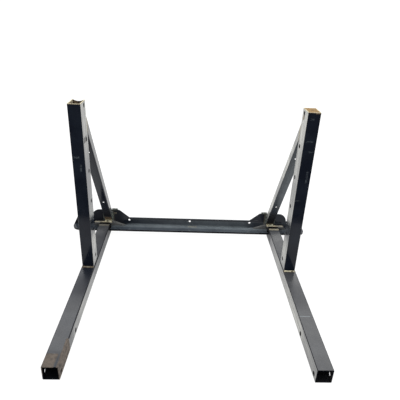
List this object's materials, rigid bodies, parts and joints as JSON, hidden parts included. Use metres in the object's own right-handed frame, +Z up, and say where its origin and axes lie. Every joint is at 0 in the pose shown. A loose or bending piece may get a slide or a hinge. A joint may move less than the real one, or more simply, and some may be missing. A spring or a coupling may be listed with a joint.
{
  "type": "welded box-section stand frame",
  "caption": "Free-standing black steel frame: two floor rails, two drilled uprights, raking channel braces and a pressed rear cross-member, all welded.",
  "frame": {"origin": "on the floor, in the middle of the footprint", "axes": "+Z up, +Y from the open rail ends to the cross-member, +X to the right seen from the open ends"},
  "size_m": [1.09, 0.872, 0.686],
  "materials": {
    "black_paint": "worn gloss black paint over steel",
    "rusty_steel": "bare steel with dry brown rust",
    "weld_metal": "rusted weld metal, paint mostly gone"
  },
  "bodies": {
    "root": {"rail_left": "black_paint", "rail_right": "black_paint", "post_left": "black_paint", "post_right": "black_paint", "post_cap_right": "rusty_steel", "brace_left": "black_paint", "brace_right": "black_paint", "crossmember": "black_paint", "saddle_left": "weld_metal", "saddle_right": "weld_metal", "weld_post_front_left": "weld_metal", "weld_post_front_right": "weld_metal", "weld_post_rear_left": "weld_metal", "weld_post_rear_right": "weld_metal", "weld_saddle_left": "weld_metal", "weld_saddle_right": "weld_metal", "weld_brace_foot_left": "weld_metal", "weld_brace_foot_right": "weld_metal", "weld_brace_inner_left": "weld_metal", "weld_brace_inner_right": "weld_metal", "weld_brace_outer_left": "weld_metal", "weld_brace_outer_right": "weld_metal", "weld_brace_top_left": "weld_metal", "weld_brace_top_right": "weld_metal", "weld_ear_left": "weld_metal", "weld_ear_right": "weld_metal", "weld_notch_inner_left": "weld_metal", "weld_notch_inner_right": "weld_metal", "weld_notch_outer_left": "weld_metal", "weld_notch_outer_right": "weld_metal"}
  },
  "joints": []
}
